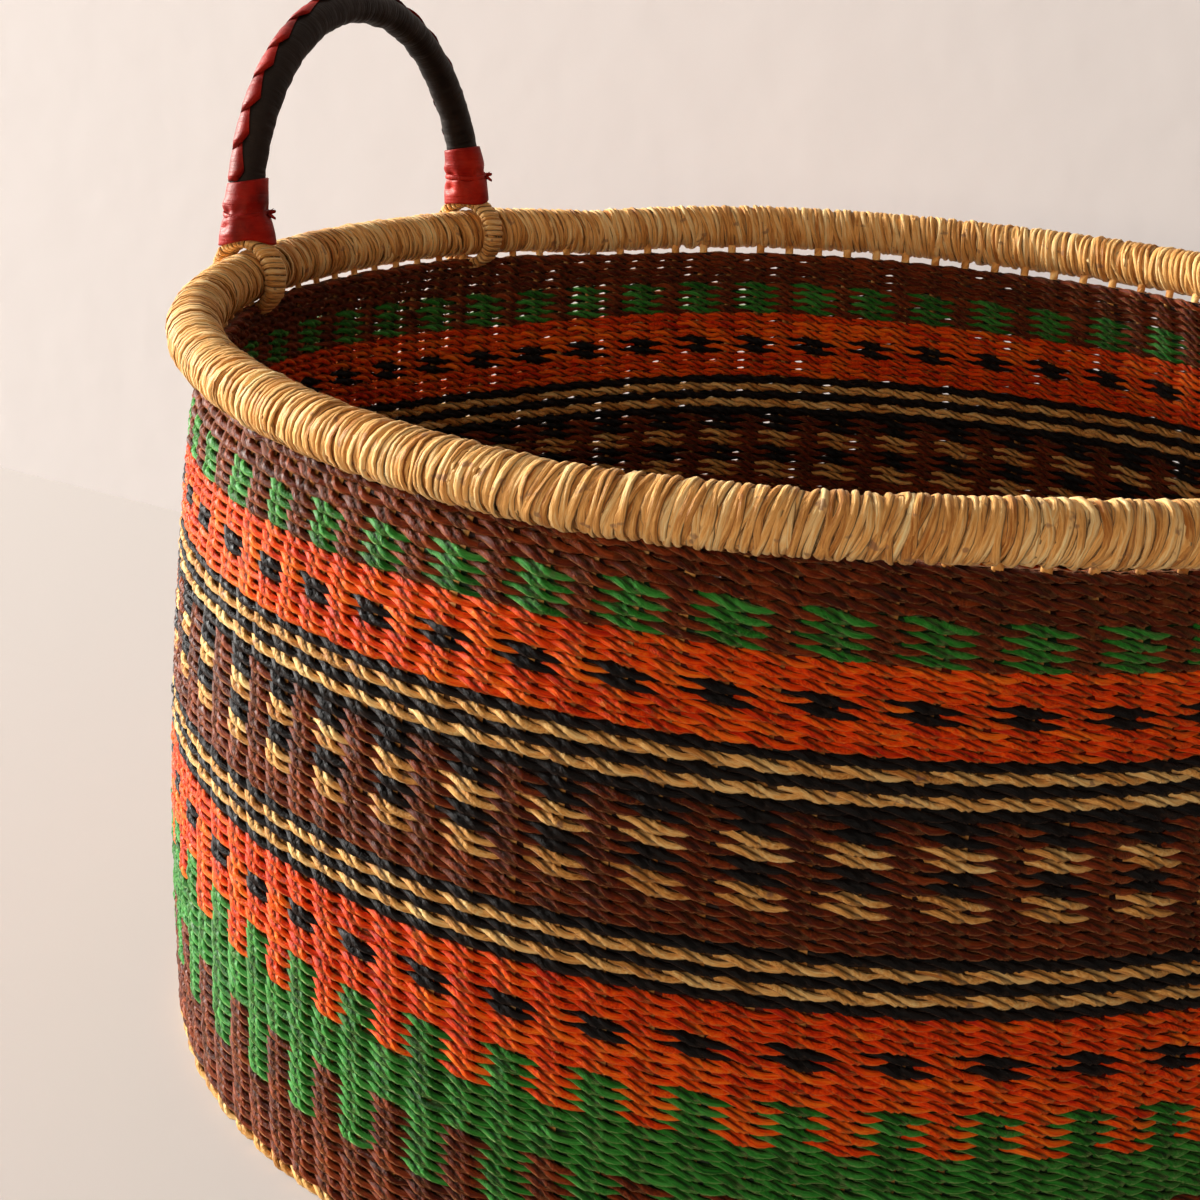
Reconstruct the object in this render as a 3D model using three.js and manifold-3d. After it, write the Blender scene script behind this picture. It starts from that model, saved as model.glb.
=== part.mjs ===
// Bolga basket: a round twined-grass storage basket with a straw-wrapped rim and two
// leather-covered handles that swing on straw-bound loops round the rim.
// Millimetres, +Z up, the floor at z = 0 and the basket's axis on Z. The handles are on -X and +X.
import * as THREE from "three";
import { mergeVertices } from "three/addons/utils/BufferGeometryUtils.js";
import Module from "manifold-3d";

const wasm = await Module();
wasm.setup();

// Rim: a bundle of bent-over stakes, bound with flat straw
const rimRadius = 225;
const rimThickness = 18;
const strawThickness = 2.4;

// Stakes: they rise through the wall, and their bare necks carry the rim over a narrow gap.
// One stake of each neckStakeCount has its neck modelled.
const stakeCount = 112;
const neckStakeCount = 2;
const stakeWidth = 3.2;
const stakeDepth = 2.4;
const rimGap = 2.3;
const slotPlay = 1.2;

// Wall: rows of twined weft, packed a little tighter in the upper part
const wallThickness = 6.4;
const rowHeight = 3.5;
const upperRowHeight = 3.1;
const footFlare = 5;
const bellyFlare = 7.8;
const bellyHeightShare = 0.38;
const naturalProud = 0.4;

// Foot and base
const footHeight = 4;
const footRoundShare = 0.25;
const baseThickness = 5;
const baseStartRadius = 38;
const baseInnerRadius = 130;

// Handles: an arch over the rim, from one loop to the other. Each loop stands a count of
// stakes away from the handle's middle, between two stakes.
const loopStakeCount = 5.5;
const archSpring = 12;
const archRise = 80;
const handleLean = THREE.MathUtils.degToRad(5);
const coreRadius = 4.7;
const leatherThickness = 1;

// Loops: straw-bound rings round the rim, with a shank that stands in the cuff
const loopWidth = 9;
const loopThickness = 3.6;
const loopClearance = 0.8;
const loopChamfer = 1.1;
const shankRadius = 4.3;
const shankRise = 4.5;

// Cuffs: leather sleeves, wide where they cover the crown of the loop
const cuffDrop = 1.8;
const cuffHeight = 22.5;
const cuffPlay = 0.6;
const cuffFlareAlong = 0.9;
const cuffWaistShare = 0.46;

// Cuff ties: a thong round the waist of each cuff, knotted towards the inside of the basket
const tieThickness = 1.1;
const tieWidth = 3;
const knotRadius = 2.3;

// Lacing: a red whip stitch along the outer upper side of each leather cover
const lacingAngle = THREE.MathUtils.degToRad(50);
const stitchPitch = 13;
const stitchWidth = 7;
const stitchNarrowShare = 0.34;
const stitchThickness = 1.7;
const stitchEdgeShare = 0.4;

// Clearance between pieces that touch
const seatGap = 0.3;

// Resolution
const roundSegments = 36;
const rimSides = 8;
const loopSegments = 16;
const sleeveSides = 8;
const cuffSides = 12;
const coverSteps = 16;
const stepsPerStitch = 3;

const straw = "#cba063";
const strawPale = "#dcbc80";
const orange = "#d9480f";
const green = "#2c7a38";
const brown = "#5a2415";
const black = "#1b1716";
const redLeather = "#7d1718";
const blackLeather = "#17120f";

// The bands of the wall, from the foot up: name, rows and dye. A tight band has the upper row height.
const bands = [
  { name: "weft_brown_lower", rows: 7, color: brown },
  { name: "weft_green_brown_lower", rows: 6, color: green },
  { name: "weft_green_middle", rows: 5, color: green },
  { name: "weft_orange_green", rows: 4, color: orange },
  { name: "weft_orange_lower", rows: 8, color: orange },
  { name: "weft_black_1", rows: 1, color: black },
  { name: "weft_natural_1", rows: 1, color: strawPale, natural: true },
  { name: "weft_black_2", rows: 1, color: black },
  { name: "weft_natural_2", rows: 1, color: strawPale, natural: true },
  { name: "weft_black_3", rows: 1, color: black },
  { name: "weft_brown_check", rows: 11, color: brown },
  { name: "weft_black_4", rows: 1, color: black },
  { name: "weft_natural_3", rows: 1, color: strawPale, natural: true },
  { name: "weft_black_5", rows: 1, color: black },
  { name: "weft_natural_4", rows: 1, color: strawPale, natural: true },
  { name: "weft_black_6", rows: 1, color: black, tight: true },
  { name: "weft_orange_upper", rows: 8, color: orange, tight: true },
  { name: "weft_green_brown_upper", rows: 4, color: green, tight: true },
  { name: "weft_brown_top", rows: 4, color: brown, tight: true },
];

const bandHeight = (band) => band.rows * (band.tight ? upperRowHeight : rowHeight);
const wallTop = bands.reduce((height, band) => height + bandHeight(band), footHeight);
const rimOuter = rimThickness / 2;
const rimCoreRadius = rimOuter - strawThickness - seatGap;
const rimHeight = wallTop + rimGap + rimOuter;
const stakeInset = wallThickness / 2;

const stakeAngle = (2 * Math.PI) / stakeCount;
const loopAngle = loopStakeCount * stakeAngle;
const hingeX = rimRadius * Math.cos(loopAngle);
const halfSpan = rimRadius * Math.sin(loopAngle);
// The rim crosses a loop at an angle, so the bore is wider than the rim by that slant.
const loopBore =
  rimOuter / Math.cos(loopAngle) + (loopWidth / 2) * Math.tan(loopAngle) + loopClearance;
const loopOuter = loopBore + loopThickness;
const shankTop = loopOuter + shankRise;
const coverRadius = coreRadius + seatGap + leatherThickness;
const cuffBottom = loopOuter - cuffDrop;
const cuffTop = cuffBottom + cuffHeight;
const cuffWaist = cuffBottom + cuffHeight * cuffWaistShare;
const cuffBore = coverRadius + cuffPlay;
const cuffRadius = cuffBore + leatherThickness;

const root = new THREE.Group();

function finish(color, roughness, metalness = 0) {
  return new THREE.MeshStandardMaterial({ color, roughness, metalness });
}

function addPiece(parent, name, geometry, color, roughness = 0.8) {
  const mesh = new THREE.Mesh(geometry, finish(color, roughness));
  mesh.name = name;
  parent.add(mesh);
  return mesh;
}

// Turns a closed profile of [radius, height] points round the Z axis.
function revolve(profile, segments = roundSegments) {
  const points = profile.map(([radius, height]) => new THREE.Vector2(radius, height));
  points.push(points[0].clone());
  return outward(new THREE.LatheGeometry(points, segments).rotateX(Math.PI / 2));
}

// Keeps only the positions, welds them and turns the faces out.
function outward(geometry) {
  geometry.deleteAttribute("normal");
  geometry.deleteAttribute("uv");
  const welded = mergeVertices(geometry);
  const place = welded.getAttribute("position");
  const index = welded.index.array;
  const [a, b, c] = [new THREE.Vector3(), new THREE.Vector3(), new THREE.Vector3()];
  let volume = 0;
  for (let i = 0; i < index.length; i += 3) {
    a.fromBufferAttribute(place, index[i]);
    b.fromBufferAttribute(place, index[i + 1]);
    c.fromBufferAttribute(place, index[i + 2]);
    volume += a.dot(b.cross(c));
  }
  if (volume < 0) {
    for (let i = 0; i < index.length; i += 3) {
      [index[i + 1], index[i + 2]] = [index[i + 2], index[i + 1]];
    }
  }
  welded.computeVertexNormals();
  return welded;
}

// Skins a row of rings that have the same number of points. A looped row closes on itself,
// as a hollow sleeve does. An open row gets a fan of faces over each end.
function loft(rings, looped = false) {
  const sides = rings[0].length;
  const index = [];
  const count = looped ? rings.length : rings.length - 1;
  for (let i = 0; i < count; i++) {
    const low = i * sides;
    const high = ((i + 1) % rings.length) * sides;
    for (let j = 0; j < sides; j++) {
      const next = (j + 1) % sides;
      index.push(low + j, low + next, high + next, low + j, high + next, high + j);
    }
  }
  if (!looped) {
    const last = (rings.length - 1) * sides;
    for (let j = 1; j < sides - 1; j++) {
      index.push(0, j + 1, j, last, last + j, last + j + 1);
    }
  }
  const geometry = new THREE.BufferGeometry().setFromPoints(rings.flat());
  geometry.setIndex(index);
  return outward(geometry);
}

function toSolid(geometry) {
  const welded = outward(geometry.clone());
  return new wasm.Manifold(
    new wasm.Mesh({
      numProp: 3,
      vertProperties: new Float32Array(welded.getAttribute("position").array),
      triVerts: new Uint32Array(welded.index.array),
    }),
  );
}

function toGeometry(solid) {
  const mesh = solid.getMesh();
  const geometry = new THREE.BufferGeometry();
  geometry.setAttribute("position", new THREE.BufferAttribute(mesh.vertProperties, 3));
  geometry.setIndex(new THREE.BufferAttribute(mesh.triVerts, 1));
  geometry.computeVertexNormals();
  return geometry;
}

// Outer radius of the wall: a curve through the foot, the belly and the shoulder under the rim.
function wallRadius(height) {
  const share = height / wallTop;
  const foot = footFlare * (1 - share) * (1 - share / bellyHeightShare);
  const belly = (bellyFlare * share * (1 - share)) / (bellyHeightShare * (1 - bellyHeightShare));
  return rimRadius + foot + belly;
}

// A round plug on the hinge line, as wide as a loop with its clearance
function loopPlug(x, y, radius) {
  const width = loopWidth + 2 * loopClearance;
  const plug = new THREE.CylinderGeometry(radius, radius, width, roundSegments);
  return toSolid(plug.translate(x, y, rimHeight));
}

function loopPlaces() {
  return [-hingeX, hingeX].flatMap((x) => [-halfSpan, halfSpan].map((y) => [x, y]));
}

function buildBase() {
  const rings = [
    ["base_start_disc", 0, baseStartRadius, strawPale],
    ["base_weave_inner", baseStartRadius + seatGap, baseInnerRadius, brown],
    [
      "base_weave_outer",
      baseInnerRadius + seatGap,
      rimRadius + footFlare - wallThickness - seatGap,
      straw,
    ],
  ];
  for (const [name, inner, outer, color] of rings) {
    const profile = [
      [inner, 0],
      [outer, 0],
      [outer, baseThickness],
      [inner, baseThickness],
    ];
    addPiece(root, name, revolve(profile), color);
  }
}

// The twined edge that the basket stands on, flat underneath
function buildFoot() {
  const outer = rimRadius + footFlare;
  const inner = outer - wallThickness;
  const round = wallThickness * footRoundShare;
  const top = footHeight - seatGap;
  const profile = [
    [inner + round, 0],
    [outer - round, 0],
    [outer, top / 2],
    [outer - round, top],
    [inner + round, top],
    [inner, top / 2],
  ];
  addPiece(root, "foot_ring", revolve(profile), strawPale);
}

function buildWall() {
  let bottom = footHeight;
  for (const band of bands) {
    const top = bottom + bandHeight(band) - seatGap;
    const proud = band.natural ? naturalProud : 0;
    const profile = [
      [wallRadius(bottom) + proud, bottom],
      [wallRadius(top) + proud, top],
      [wallRadius(top) - wallThickness - proud, top],
      [wallRadius(bottom) - wallThickness - proud, bottom],
    ];
    let geometry = revolve(profile);
    if (band === bands.at(-1)) {
      // Each loop passes through a window in the top rows.
      const windows = loopPlaces().map(([x, y]) => loopPlug(x, y, loopOuter + loopClearance));
      geometry = toGeometry(toSolid(geometry).subtract(wasm.Manifold.union(windows)));
    }
    addPiece(root, band.name, geometry, band.color);
    bottom += bandHeight(band);
  }
}

// A point of the rim's section: turn is measured from straight down towards the basket's axis.
function rimPoint(radius, turn) {
  return [rimRadius - radius * Math.sin(turn), rimHeight - radius * Math.cos(turn)];
}

// The bundle inside the rim, with the stake necks that come down out of it to the wall
function buildRimCore() {
  const profile = [];
  for (let i = 0; i < rimSides; i++) {
    profile.push(rimPoint(rimCoreRadius, (2 * Math.PI * i) / rimSides));
  }
  const solids = [toSolid(revolve(profile))];
  const neckBottom = wallTop;
  const neckLength = rimHeight - neckBottom;
  for (let i = 1; i < stakeCount; i += neckStakeCount) {
    const neck = new THREE.BoxGeometry(stakeDepth, stakeWidth, neckLength);
    neck.translate(rimRadius - stakeInset, 0, neckBottom + neckLength / 2);
    neck.rotateZ(i * stakeAngle);
    solids.push(toSolid(neck));
  }
  const sweeps = loopPlaces().map(([x, y]) =>
    loopPlug(x, y, loopOuter + loopClearance).subtract(loopPlug(x, y, loopBore)),
  );
  const joined = wasm.Manifold.union(solids).subtract(wasm.Manifold.union(sweeps));
  addPiece(root, "rim_core", toGeometry(joined), straw);
}

// The straw binding: a tube open along a slot underneath, where the necks come out
function buildRimWrap() {
  const inner = (rimCoreRadius + seatGap) / Math.cos(Math.PI / rimSides);
  const slot = stakeDepth / 2 + slotPlay;
  const arc = (radius, sides) => {
    const first = Math.asin((stakeInset - slot) / radius);
    const last = Math.asin((stakeInset + slot) / radius) - 2 * Math.PI;
    const points = [];
    for (let i = 0; i <= sides; i++) {
      points.push(rimPoint(radius, first + ((last - first) * i) / sides));
    }
    return points;
  };
  const profile = [...arc(rimOuter, rimSides), ...arc(inner, rimSides).reverse()];
  addPiece(root, "rim_wrap", revolve(profile), straw, 0.65);
}

// The middle line of a handle, in the plane of its two loops: Y runs from loop to loop.
class ArchCurve extends THREE.Curve {
  constructor(startHeight) {
    super();
    this.start = Math.asin((startHeight - archSpring) / archRise);
  }

  getPoint(share, target = new THREE.Vector3()) {
    const turn = THREE.MathUtils.lerp(this.start, Math.PI - this.start, share);
    return target.set(0, -halfSpan * Math.cos(turn), archSpring + archRise * Math.sin(turn));
  }
}

// The arch's middle line and its two cross directions at a share of its length
function archFrame(curve, share) {
  const across = new THREE.Vector3(1, 0, 0);
  const tangent = curve.getTangentAt(share);
  return { center: curve.getPointAt(share), across, up: across.clone().cross(tangent) };
}

function archRing(curve, share, radius, sides) {
  const { center, across, up } = archFrame(curve, share);
  const ring = [];
  for (let i = 0; i < sides; i++) {
    const turn = (2 * Math.PI * i) / sides;
    const point = center.clone().addScaledVector(across, radius * Math.cos(turn));
    ring.push(point.addScaledVector(up, radius * Math.sin(turn)));
  }
  return ring;
}

function archRings(curve, radius, steps, sides) {
  const rings = [];
  for (let i = 0; i <= steps; i++) rings.push(archRing(curve, i / steps, radius, sides));
  return rings;
}

function handleCore() {
  const curve = new ArchCurve(shankTop + seatGap);
  return loft(archRings(curve, coreRadius, coverSteps, sleeveSides));
}

function handleCover() {
  const curve = new ArchCurve(shankTop + seatGap);
  const outer = archRings(curve, coverRadius, coverSteps, sleeveSides);
  const inner = archRings(curve, coreRadius + seatGap, coverSteps, sleeveSides);
  return loft([...outer, ...inner.reverse()], true);
}

// One strip of leaf-shaped stitches that narrows between them, bedded on the cover
function handleLacing() {
  const curve = new ArchCurve(cuffTop + seatGap);
  const stitches = Math.round(curve.getLength() / stitchPitch);
  const steps = stitches * stepsPerStitch;
  const bed = coverRadius + seatGap;
  const rings = [];
  for (let i = 0; i <= steps; i++) {
    const swell = Math.abs(Math.sin((Math.PI * i) / stepsPerStitch));
    const widthShare = THREE.MathUtils.lerp(stitchNarrowShare, 1, swell);
    const half = (stitchWidth * widthShare) / 2 / bed;
    const crown = bed + stitchThickness * widthShare;
    const edge = bed + stitchThickness * widthShare * stitchEdgeShare;
    const { center, across, up } = archFrame(curve, i / steps);
    const section = [
      [0, bed],
      [half, bed],
      [half, edge],
      [0, crown],
      [-half, edge],
      [-half, bed],
    ];
    rings.push(
      section.map(([turn, radius]) => {
        const place = lacingAngle + turn;
        const point = center.clone().addScaledVector(up, radius * Math.cos(place));
        return point.addScaledVector(across, radius * Math.sin(place));
      }),
    );
  }
  return loft(rings);
}

// A ring round the rim, turned about the hinge line, with its shank fused on
function handleLoop(y) {
  const half = loopWidth / 2;
  const profile = [
    [loopBore, -half],
    [loopBore, half],
    [loopOuter - loopChamfer, half],
    [loopOuter, half - loopChamfer],
    [loopOuter, loopChamfer - half],
    [loopOuter - loopChamfer, -half],
  ];
  const ring = revolve(profile, loopSegments).rotateX(-Math.PI / 2);
  const shankBottom = loopBore + loopThickness / 2;
  const shank = new THREE.CylinderGeometry(
    shankRadius,
    shankRadius,
    shankTop - shankBottom,
    sleeveSides,
  );
  shank.rotateX(Math.PI / 2).translate(0, 0, (shankTop + shankBottom) / 2);
  return toGeometry(toSolid(ring).add(toSolid(shank))).translate(0, y, 0);
}

// An oval ring across the leg at a height, centred on the arch's middle line
function legRing(side, height, across, along) {
  const ring = [];
  const y = side * halfSpan * Math.cos(Math.asin((height - archSpring) / archRise));
  for (let i = 0; i < cuffSides; i++) {
    const turn = (2 * Math.PI * i) / cuffSides;
    ring.push(new THREE.Vector3(across * Math.cos(turn), y + along * Math.sin(turn), height));
  }
  return ring;
}

// A leather sleeve whose oval mouth takes in the flat crown of the loop
function cuff(side) {
  const crownHalf = Math.sqrt(loopOuter ** 2 - cuffBottom ** 2);
  const crownEdge = loopWidth / 2 - loopChamfer;
  const facetShare = Math.cos(Math.PI / cuffSides);
  const mouthAcross = crownHalf / Math.sqrt(1 - (crownEdge / cuffBore) ** 2) / facetShare + seatGap;
  const skirtAcross = mouthAcross + leatherThickness;
  const flareHeight = (cuffBottom + cuffWaist) / 2;
  const middle = (cuffWaist + cuffTop) / 2;
  return loft(
    [
      legRing(side, cuffBottom, skirtAcross, cuffRadius + cuffFlareAlong),
      legRing(side, flareHeight, (skirtAcross + 2 * cuffRadius) / 3, cuffRadius),
      legRing(side, cuffWaist, cuffRadius, cuffRadius),
      legRing(side, middle, cuffRadius, cuffRadius),
      legRing(side, cuffTop, cuffRadius, cuffRadius),
      legRing(side, cuffTop, cuffBore, cuffBore),
      legRing(side, middle, cuffBore, cuffBore),
      legRing(side, cuffWaist, cuffBore, cuffBore),
      legRing(side, loopOuter + seatGap, cuffBore, cuffBore),
      legRing(side, cuffBottom, mouthAcross, cuffBore),
    ],
    true,
  );
}

// A thong round the cuff's waist with its knot towards the inside of the basket
function cuffTie(side) {
  const inner = cuffRadius + seatGap;
  const outer = inner + tieThickness;
  const low = cuffWaist;
  const high = cuffWaist + tieWidth;
  const band = loft(
    [
      legRing(side, low, outer, outer),
      legRing(side, high, outer, outer),
      legRing(side, high, inner, inner),
      legRing(side, low, inner, inner),
    ],
    true,
  );
  const knot = new THREE.SphereGeometry(knotRadius, sleeveSides, sleeveSides / 2);
  const y = side * halfSpan * Math.cos(Math.asin((cuffWaist - archSpring) / archRise));
  knot.translate(-(inner + knotRadius), y, (low + high) / 2);
  return toGeometry(toSolid(band).add(toSolid(knot)));
}

// In a handle's own frame X points away from the basket, and the hinge line is Y.
function buildHandle(name, outwardTurn) {
  const place = new THREE.Group();
  place.rotation.z = outwardTurn;
  place.position.set(hingeX * Math.cos(outwardTurn), 0, rimHeight);
  const handle = new THREE.Group();
  handle.rotation.y = handleLean;
  place.add(handle);
  root.add(place);
  addPiece(handle, `${name}_core`, handleCore(), straw);
  addPiece(handle, `${name}_cover`, handleCover(), blackLeather, 0.5);
  addPiece(handle, `${name}_lacing`, handleLacing(), redLeather, 0.5);
  const frontSide = Math.cos(outwardTurn) > 0 ? -1 : 1;
  for (const [end, side] of [
    ["front", frontSide],
    ["back", -frontSide],
  ]) {
    addPiece(handle, `${name}_loop_${end}`, handleLoop(side * halfSpan), straw, 0.65);
    addPiece(handle, `${name}_cuff_${end}`, cuff(side), redLeather, 0.5);
    addPiece(handle, `${name}_tie_${end}`, cuffTie(side), redLeather, 0.5);
  }
}

buildBase();
buildFoot();
buildWall();
buildRimCore();
buildRimWrap();
buildHandle("handle_left", Math.PI);
buildHandle("handle_right", 0);

export default root;
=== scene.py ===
"""Bolga basket, dressed for rendering: twined straw wall and base, bound rim and leather handles.

Lengths are in millimetres in the basket's own frame, as in the CAD source, and turned into
metres where a mesh is made. Places round the basket are counted in stakes: one step of a
stake is one stitch of the weave, and place 0 lies on the +X side, at the right handle.
"""

import math

import bpy
import numpy as np
from mathutils import Matrix, Vector


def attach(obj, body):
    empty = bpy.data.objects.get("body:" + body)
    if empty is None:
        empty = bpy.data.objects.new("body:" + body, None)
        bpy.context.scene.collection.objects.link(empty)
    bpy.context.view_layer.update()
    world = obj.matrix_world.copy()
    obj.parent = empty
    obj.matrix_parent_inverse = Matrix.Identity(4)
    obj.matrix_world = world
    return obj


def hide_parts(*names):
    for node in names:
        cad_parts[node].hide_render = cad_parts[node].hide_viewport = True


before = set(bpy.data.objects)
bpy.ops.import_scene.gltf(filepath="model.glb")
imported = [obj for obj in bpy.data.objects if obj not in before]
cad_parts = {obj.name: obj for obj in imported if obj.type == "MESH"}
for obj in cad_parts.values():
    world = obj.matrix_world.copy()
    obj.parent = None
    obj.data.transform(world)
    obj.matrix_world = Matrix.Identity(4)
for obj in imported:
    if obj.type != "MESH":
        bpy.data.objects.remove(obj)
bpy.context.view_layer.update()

MM = 0.001
FULL_TURN = 2 * math.pi

# Rim, wall and foot, the same sizes as the CAD model
RIM_RADIUS = 225.0
RIM_OUTER = 9.0
RIM_HEIGHT = 243.0
WALL_TOP = 231.7
WALL_THICKNESS = 6.4
WALL_MIDDLE = WALL_THICKNESS / 2
ROW_HEIGHT = 3.5
UPPER_ROW_HEIGHT = 3.1
FOOT_HEIGHT = 4.0
FOOT_FLARE = 5.0
BELLY_FLARE = 7.8
BELLY_SHARE = 0.38
BASE_THICKNESS = 5.0
BASE_START_RADIUS = 38.0
BASE_INNER_RADIUS = 130.0
STAKES = 112
STAKE_ANGLE = FULL_TURN / STAKES

# Handles: the arch, the leg's leather and the loops are the CAD model's
HINGE_X = 214.3744
HALF_SPAN = 68.3
ARCH_SPRING = 12.0
ARCH_RISE = 80.0
HANDLE_LEAN = math.radians(5)
COVER_RADIUS = 6.0
LOOP_WIDTH = 9.0
CUFF_BOTTOMS = {"front": 10.8, "back": 11.4}
CUFF_TOP = 33.8

# The bands of the wall from the foot up. Each run is a count of rows, the dye of the strand
# that lies outside at even stakes, and the dye of the strand that lies outside at odd ones.
PLAIN_BLACK = [(1, "black", "black")]
PLAIN_NATURAL = [(1, "natural", "natural")]
SPOTTED_ORANGE = [(3, "orange", "orange"), (2, "black", "orange"), (3, "orange", "orange")]
BROWN_CHECK = [(3, "brown", "brown")] + 2 * [(2, "brown", "natural"), (2, "brown", "black")]
BANDS = [
    ("foot_ring", PLAIN_NATURAL),
    ("weft_brown_lower", [(7, "brown", "brown")]),
    ("weft_green_brown_lower", [(6, "green", "brown")]),
    ("weft_green_middle", [(5, "green", "green")]),
    ("weft_orange_green", [(4, "green", "orange")]),
    ("weft_orange_lower", SPOTTED_ORANGE),
    ("weft_black_1", PLAIN_BLACK),
    ("weft_natural_1", PLAIN_NATURAL),
    ("weft_black_2", PLAIN_BLACK),
    ("weft_natural_2", PLAIN_NATURAL),
    ("weft_black_3", PLAIN_BLACK),
    ("weft_brown_check", BROWN_CHECK),
    ("weft_black_4", PLAIN_BLACK),
    ("weft_natural_3", PLAIN_NATURAL),
    ("weft_black_5", PLAIN_BLACK),
    ("weft_natural_4", PLAIN_NATURAL),
    ("weft_black_6", PLAIN_BLACK),
    ("weft_orange_upper", SPOTTED_ORANGE),
    ("weft_green_brown_upper", [(4, "green", "brown")]),
    ("weft_brown_top", [(4, "brown", "brown")]),
]
TIGHT_BANDS = ("weft_black_6", "weft_orange_upper", "weft_green_brown_upper", "weft_brown_top")

rng = np.random.default_rng(1207)


# Mesh building


def circle(count):
    """Even angles all the way round."""
    return np.arange(count) * FULL_TURN / count


def by_tube(values):
    """One value for each tube, spread over its steps and sides."""
    return values[:, None, None]


def by_step(values):
    """One value for each step along the tubes."""
    return values[None, :, None]


def by_side(values):
    """One value for each point round the tubes."""
    return values[None, None, :]


def quad_faces(tubes, steps, sides, looped):
    """Faces of tubes whose points run tube by tube, ring by ring, side by side."""
    step = np.arange(steps if looped else steps - 1)[:, None]
    side = np.arange(sides)[None, :]
    low = step * sides
    high = (step + 1) % steps * sides
    following = (side + 1) % sides
    one = np.stack([low + side, low + following, high + following, high + side], -1)
    starts = np.arange(tubes) * steps * sides
    return (one.reshape(1, -1, 4) + starts[:, None, None]).reshape(-1, 4)


def facing_out(points, faces):
    """The same faces, turned round if they enclose a negative volume."""
    a, b, c, d = (points[faces[:, i]] for i in range(4))
    volume = np.einsum("ij,ij->", a, np.cross(b, c)) + np.einsum("ij,ij->", a, np.cross(c, d))
    return faces if volume > 0 else faces[:, ::-1]


def new_piece(name, tubes, grain, material, body, nodes, looped=True):
    """One mesh of many tubes. tubes is (tubes, steps, sides, 3) in millimetres, and grain holds
    each point's place along its straw, its place round it, and the tone of its straw."""
    count, steps, sides, _ = tubes.shape
    points = tubes.reshape(-1, 3)
    faces = facing_out(points, quad_faces(count, steps, sides, looped))
    mesh = bpy.data.meshes.new(name)
    mesh.vertices.add(len(points))
    mesh.vertices.foreach_set("co", (points * MM).astype(np.float32).ravel())
    mesh.loops.add(faces.size)
    mesh.loops.foreach_set("vertex_index", faces.astype(np.int32).ravel())
    mesh.polygons.add(len(faces))
    mesh.polygons.foreach_set("loop_start", np.arange(0, faces.size, 4, dtype=np.int32))
    mesh.polygons.foreach_set("use_smooth", np.ones(len(faces), dtype=bool))
    mesh.update(calc_edges=True)
    attribute = mesh.attributes.new("grain", "FLOAT_VECTOR", "POINT")
    attribute.data.foreach_set("vector", grain.astype(np.float32).ravel())
    mesh.materials.append(material)
    piece = bpy.data.objects.new(name, mesh)
    bpy.context.scene.collection.objects.link(piece)
    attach(piece, body)
    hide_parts(*nodes)


def woven_piece(name, strands, dye, node):
    """One mesh of strands, each a pair of points and grain, in one dye."""
    points, grain = (np.stack(parts) for parts in zip(*strands))
    new_piece(name, points, grain, STRAWS[dye], "basket", [node])


def straw_piece(name, tubes, grain, body, node, looped=True):
    """A piece in undyed binding straw."""
    new_piece(name, tubes, grain, STRAWS["binding"], body, [node], looped)


def red_piece(name, tubes, grain, body, node, looped=True):
    """A piece in red leather."""
    new_piece(name, tubes, grain, LEATHER_RED, body, [node], looped)


def grain_of(along, around, tone, shape):
    """Spreads the three grain values over every point of the tubes."""
    parts = [np.broadcast_to(value, shape) for value in (along, around, tone)]
    return np.stack(parts, -1)


def level_ring(radius, turn, level):
    """Points at a distance from the basket's axis, an angle round it and a height."""
    return np.stack([radius * np.cos(turn), radius * np.sin(turn), level], -1)


# Shader building


def linear(color):
    """A colour as it shows on a screen, turned into scene values."""
    values = (((v + 0.055) / 1.055) ** 2.4 if v > 0.04045 else v / 12.92 for v in color)
    return (*values, 1.0)


def add_node(tree, kind, inputs=(), **settings):
    """Adds a node. inputs is pairs of a socket's name or number and a value or another socket."""
    made = tree.nodes.new(kind)
    for name, value in settings.items():
        setattr(made, name, value)
    for key, value in inputs:
        if isinstance(value, bpy.types.NodeSocket):
            tree.links.new(value, made.inputs[key])
        else:
            made.inputs[key].default_value = value
    return made


def math_of(tree, operation, first, second):
    made = add_node(tree, "ShaderNodeMath", [(0, first), (1, second)], operation=operation)
    return made.outputs[0]


def mix_of(tree, factor, first, second):
    """A blend of two colours. The numbers are the mix node's colour sockets."""
    values = [(0, factor), (6, first), (7, second)]
    return add_node(tree, "ShaderNodeMix", values, data_type="RGBA").outputs[2]


def noise_of(tree, place, scale, detail=2.0, roughness=0.5):
    values = [("Vector", place), ("Scale", scale), ("Detail", detail), ("Roughness", roughness)]
    return add_node(tree, "ShaderNodeTexNoise", values).outputs["Fac"]


def stretched(tree, place, scale):
    """The same place with its three values multiplied."""
    values = [("Scale", scale), ("Vector", place)]
    return add_node(tree, "ShaderNodeMapping", values).outputs[0]


def ramp_of(tree, factor, stops, colors):
    """A colour ramp, with its colours given as they show on a screen."""
    made = add_node(tree, "ShaderNodeValToRGB", [("Fac", factor)])
    elements = made.color_ramp.elements
    while len(elements) < len(stops):
        elements.new(0.5)
    for element, position, color in zip(elements, stops, colors):
        element.position = position
        element.color = linear(color)
    return made.outputs["Color"]


def range_of(tree, value, low, high, start=0.0, end=1.0):
    """Maps a range of values onto another, clamped at its ends."""
    names = ("Value", "From Min", "From Max", "To Min", "To Max")
    values = list(zip(names, (value, low, high, start, end)))
    return add_node(tree, "ShaderNodeMapRange", values).outputs[0]


def new_shader(name, **values):
    material = bpy.data.materials.new(name)
    material.use_nodes = True
    tree = material.node_tree
    shader = tree.nodes["Principled BSDF"]
    for key, value in values.items():
        shader.inputs[key.replace("_", " ")].default_value = value
    return material, tree, shader


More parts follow.
